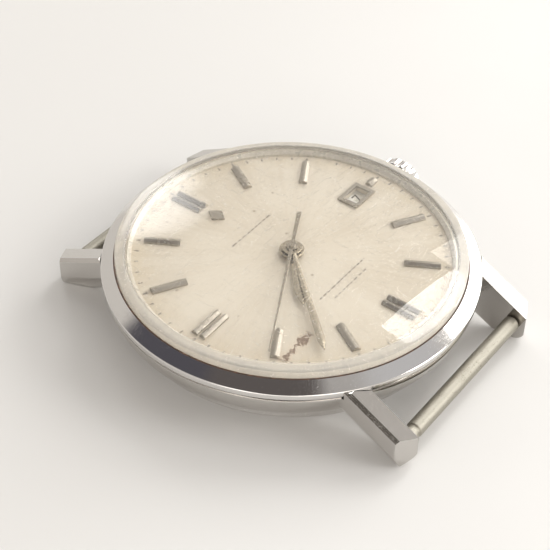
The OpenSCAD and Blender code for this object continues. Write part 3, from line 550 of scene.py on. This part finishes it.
back_pts = fillet([(12, 0.03), (13.5, 0.34), (14.7, 1.0), (15.1, 1.1), (15.1, 1.5), (15.45, 1.62),
                   (15.45, 2.2), (15.35, 2.3), (14.75, 2.3), (14.75, 2.93), (13.75, 2.93), (13.75, 1.1),
                   (13.45, 0.8), (0, 0.8), (0, 0.0), (11.9, 0.0)],
                  [0.4, 0.8, 0.2, 0.08, 0.08, 0.08, 0.06, 0.04, 0, 0.05, 0.05, 0.1, 0.1, 0, 0, 0.3])
lathe("back_cover", back_pts, BACK, 192, slot="case_steel", node="case_back")


def dome(r0, z0, rise, n):
    """Points of a spherical cap from its top to its edge, n steps."""
    rad = (r0 * r0 + rise * rise) / (2 * rise)
    top = z0 + rise
    radii = [r0 * i / n for i in range(n + 1)]
    return [(r, top - rad + math.sqrt(rad * rad - r * r)) for r in radii]


FOOT_Z = 5.76
WALL_Z = 6.4
IN_SHOULDER_Z = 6.95
outer = dome(CRYSTAL_R, SHOULDER_Z, 1.75, 40)
inner = dome(CRYSTAL_IN, IN_SHOULDER_Z, 1.3, 36)
wall_out = (CRYSTAL_R, WALL_Z)
wall_in = (CRYSTAL_IN, WALL_Z)
shoulder = fillet([outer[-2], (CRYSTAL_R, SHOULDER_Z), wall_out], [0, 0.14, 0], 6)
in_shoulder = fillet([wall_in, (CRYSTAL_IN, IN_SHOULDER_Z), inner[-2]], [0, 0.08, 0], 4)
prof = outer[:-1] + shoulder[1:-1]
prof += [wall_out, (CRYSTAL_R, FOOT_Z), (CRYSTAL_IN, FOOT_Z), wall_in]
prof += in_shoulder[1:-1] + list(reversed(inner[:-1]))
crystal = lathe("crystal_dome", prof, CRYSTAL, 256, slot="crystal", node="crystal")
crystal.visible_shadow = False

# a dark line of sealant against the bezel, and behind it a cream band that is a painted reflection, standing
# in for the dial's image refracted in the crystal wall
seal = fillet([(15.94, 6.5), (16.07, 6.5), (16.09, 6.66), (16.0, 6.685), (15.94, 6.66)],
              [0, 0, 0.03, 0.03, 0.02])
lathe("crystal_seal", seal, SEAL, 256, slot="gasket")
painted_refraction_band = [(15.955, 5.8), (15.967, 5.8), (15.967, 6.49), (15.955, 6.49)]
lathe("crystal_painted_refraction", painted_refraction_band, PAINTED_REFRACTION, 192, slot="gasket")


# ---------------------------------------------------------------- hands
def hand(name, node, body, outline, z, deg, hub, hole, mat, ridge=0.6, boss=None):
    """Leaf hand with a raised ridge along its middle, on a rounded hub."""
    bm = bmesh.new()
    z0, z1 = z
    sharp = 0.05
    around = 64
    ze = z0 + (z1 - z0) * (1 - ridge)
    rot = Matrix.Rotation(math.radians(-deg), 4, "Z")
    loops = []
    for (d, w) in outline:
        crest = ze + (z1 - ze) * min(1, w / sharp)
        pts = [(-w, d, z0), (w, d, z0), (w, d, ze), (0, d, crest), (-w, d, ze)]
        loops.append([bm.verts.new(rot @ Vector([c * MM for c in p])) for p in pts])
    for a, b in zip(loops, loops[1:]):
        for k in range(5):
            k2 = (k + 1) % 5
            bm.faces.new((a[k], a[k2], b[k2], b[k]))
    bm.faces.new(list(reversed(loops[0])))
    bm.faces.new(loops[-1])
    parts = [fillet([(hole, z0), (hub, z0), (hub, z1), (hole, z1)], [0, 0.02, 0.05, 0.02])]
    if boss:
        parts.append(boss)
    for ring in parts:
        cols = []
        for k in range(around):
            cols.append([bm.verts.new(circle_point(r, 2 * math.pi * k / around, h)) for (r, h) in ring])
        for k in range(around):
            a, b = cols[k], cols[(k + 1) % around]
            for j in range(len(ring)):
                j2 = (j + 1) % len(ring)
                bm.faces.new((a[j], b[j], b[j2], a[j2]))
    bmesh.ops.recalc_face_normals(bm, faces=bm.faces)
    mesh = to_mesh(name, bm)
    o = add_object(name, mesh, mat, body=body, slot="hands", node=node, smooth=False)
    b = o.modifiers.new("round", "BEVEL")
    b.width = 0.012 * MM
    b.segments = 2
    b.limit_method = "ANGLE"
    b.angle_limit = math.radians(18)
    return o


HOUR_OUTLINE = [(0.95, 0.30), (5.5, 0.58), (6.6, 0.30), (7.38, 0.015)]
MINUTE_OUTLINE = [(0.7, 0.21), (6.0, 0.28), (11.7, 0.38), (12.2, 0.34), (13.18, 0.015)]
HOUR_BOSS = [(0.78, 6.35), (1.0, 6.35), (1.0, 6.66), (0.78, 6.66)]
hand("hour_leaf", "hour_hand", "hours", HOUR_OUTLINE, (6.62, 6.74), 226, 1.15, 0.78, HAND, boss=HOUR_BOSS)
hand("minute_leaf", "minute_hand", "minutes", MINUTE_OUTLINE, (6.85, 6.97), 222, 0.95, 0.52, HAND)
softened("seconds_needle", "seconds_hand", SECOND, 0.015, body="seconds", slot="hands")


# ---------------------------------------------------------------- printing on the dial and the date ring
def ink_piece(name, quads, z, mat):
    """Printed marks: each one is a list of corners, raised a hair above its ground."""
    thick = 0.012
    sunk = 0.004
    bm = bmesh.new()
    for q in quads:
        lo = [bm.verts.new((x * MM, y * MM, (z - sunk) * MM)) for x, y in q]
        hi = [bm.verts.new((x * MM, y * MM, (z + thick) * MM)) for x, y in q]
        n = len(q)
        bm.faces.new(hi)
        bm.faces.new(list(reversed(lo)))
        for k in range(n):
            bm.faces.new((lo[k], lo[(k + 1) % n], hi[(k + 1) % n], hi[k]))
    bmesh.ops.recalc_face_normals(bm, faces=bm.faces)
    mesh = to_mesh(name, bm)
    return add_object(name, mesh, mat, smooth=False)


def bar_at(r, a, length, width):
    """Corners of a short mark that points at the centre, narrower at its outer end."""
    ca = math.cos(a)
    sa = math.sin(a)
    half = length / 2
    tip = 0.35 * width
    pts = [(-half, -width / 2), (half, -tip), (half, tip), (-half, width / 2), (-half - width * 0.3, 0)]
    return [((r + u) * ca - v * sa, (r + u) * sa + v * ca) for u, v in pts]


WORN_AWAY = 0.04
TRACK_R = 13.98
ticks = []
for i in range(60):
    if random.random() < WORN_AWAY:
        continue
    width = 0.24 if i % 5 == 0 else 0.18
    ticks.append(bar_at(TRACK_R, math.radians(6 * i), random.uniform(0.30, 0.42), width))
ink_piece("minute_track", ticks, DIAL_TOP, INK)


def rule(x0, x1, y, h, dash, gap):
    """A row of uneven dashes, in place of a line of lettering."""
    out = []
    x = x0
    while x < x1:
        d = dash * random.uniform(0.6, 1.3)
        e = min(x + d, x1)
        out.append([(x, y), (e, y), (e, y + h), (x + h * 0.2, y + h)])
        x = e + gap * random.uniform(0.7, 1.3)
    return out


rows = rule(-2.5, 3.1, 4.7, 0.16, 0.55, 0.22)
rows += rule(-3.4, 3.4, -5.6, 0.15, 0.5, 0.2)
rows += rule(-2.5, 2.5, -6.5, 0.12, 0.4, 0.2)
ink_piece("dial_rules", rows, DIAL_TOP, INK)


def numerals(name, ring_r, z, size, shown):
    """The numbers 1 to 31 around the date ring, each upright at 3 o'clock."""
    bm = bmesh.new()
    for n in range(1, DATES + 1):
        cu = bpy.data.curves.new("num", "FONT")
        cu.body = str(n)
        cu.size = size * MM
        cu.align_x = "CENTER"
        cu.align_y = "CENTER"
        cu.extrude = 0.006 * MM
        cu.resolution_u = 3
        ob = bpy.data.objects.new("num", cu)
        scene.collection.objects.link(ob)
        me = bpy.data.meshes.new_from_object(ob, depsgraph=bpy.context.evaluated_depsgraph_get())
        a = math.radians((n - shown) * 360 / DATES)
        me.transform(Matrix.Rotation(a, 4, "Z") @ Matrix.Translation((ring_r * MM, 0, z * MM)))
        bm.from_mesh(me)
        bpy.data.objects.remove(ob)
        bpy.data.curves.remove(cu)
        bpy.data.meshes.remove(me)
    mesh = to_mesh(name, bm)
    return add_object(name, mesh, DATE_INK, body="date", smooth=False)


numerals("date_numbers", 10.25, 5.706, 1.55, 17)

# ---------------------------------------------------------------- floor, light
bm = bmesh.new()
half = 1.2
bm.faces.new([bm.verts.new((x * half, y * half, 0)) for x, y in ((-1, -1), (1, -1), (1, 1), (-1, 1))])
mesh = to_mesh("floor", bm)
floor = bpy.data.objects.new("floor", mesh)
scene.collection.objects.link(floor)
mesh.materials.append(paper_floor())

world = bpy.data.worlds.new("studio")
scene.world = world
world.use_nodes = True
wt = Tree(world.node_tree)
looking = wt.node("ShaderNodeTexCoord").outputs["Generated"]


def lobe(direction, inner, outer):
    """1 within the inner angle of a direction, 0 beyond the outer one (degrees)."""
    v = Vector(direction).normalized()
    dot = wt.vmath("DOT_PRODUCT", looking, tuple(v))
    return wt.ramp(dot, math.cos(math.radians(outer)), math.cos(math.radians(inner)))


def heading(az_deg, el_deg):
    """Direction from a bearing (0 = picture right, 90 = away) and a height, in degrees."""
    a, e = math.radians(az_deg), math.radians(el_deg)
    return RIGHT * math.cos(a) * math.cos(e) + AWAY * math.sin(a) * math.cos(e) + UP * math.sin(e)


# what the metal reflects: direction, inner and outer angle in degrees, colour
# later rows lie over earlier ones
SKY = [
    (UP, 12, 52, (0.46, 0.44, 0.42)),
    (heading(95, 74), 14, 36, (1.10, 1.07, 1.02)),
    (heading(-90, 10), 24, 48, (2.3, 2.2, 2.08)),
    (heading(-95, 47), 13, 22, (0.13, 0.115, 0.10)),
    (heading(48, 8), 20, 40, (1.15, 1.14, 1.12)),
    (heading(-6, 50), 8, 22, (0.62, 0.61, 0.61)),
    (heading(-180, 53), 17, 25, (0.10, 0.095, 0.11)),
    (heading(-115, 71), 15, 22, (0.13, 0.115, 0.11)),
    (heading(107, 22), 3, 7, (4.5, 4.5, 4.5)),
    (heading(108, 30), 3, 7, (4.0, 4.0, 4.0)),
]
c = rgb(0.72, 0.68, 0.63)
for direction, inside, outside, colour in SKY:
    c = wt.mix(lobe(direction, inside, outside), c, rgb(*colour))
bg = world.node_tree.nodes["Background"]
wt.put(bg, "Color", c)
bg.inputs["Strength"].default_value = 1.0


LIGHT_DISTANCE = 0.6


def window(name, direction, size_x, size_y, power, col):
    """A rectangular light that faces the watch from a bearing, sizes in metres."""
    light = bpy.data.lights.new(name, "AREA")
    light.shape = "RECTANGLE"
    light.size = size_x
    light.size_y = size_y
    light.energy = power
    light.color = col
    o = bpy.data.objects.new(name, light)
    v = Vector(direction).normalized()
    o.location = v * LIGHT_DISTANCE
    o.rotation_euler = v.to_track_quat("Z", "Y").to_euler()
    scene.collection.objects.link(o)


window("window", heading(39.5, 19.0), 0.48, 0.455, 2.3, (1.0, 0.99, 0.97))
window("window_side", heading(-12, 26), 0.25, 0.25, 1.3, (1.0, 0.985, 0.96))
window("window_top", heading(54.2, 48.0), 0.10, 0.21, 0.55, (1.0, 0.99, 0.97))
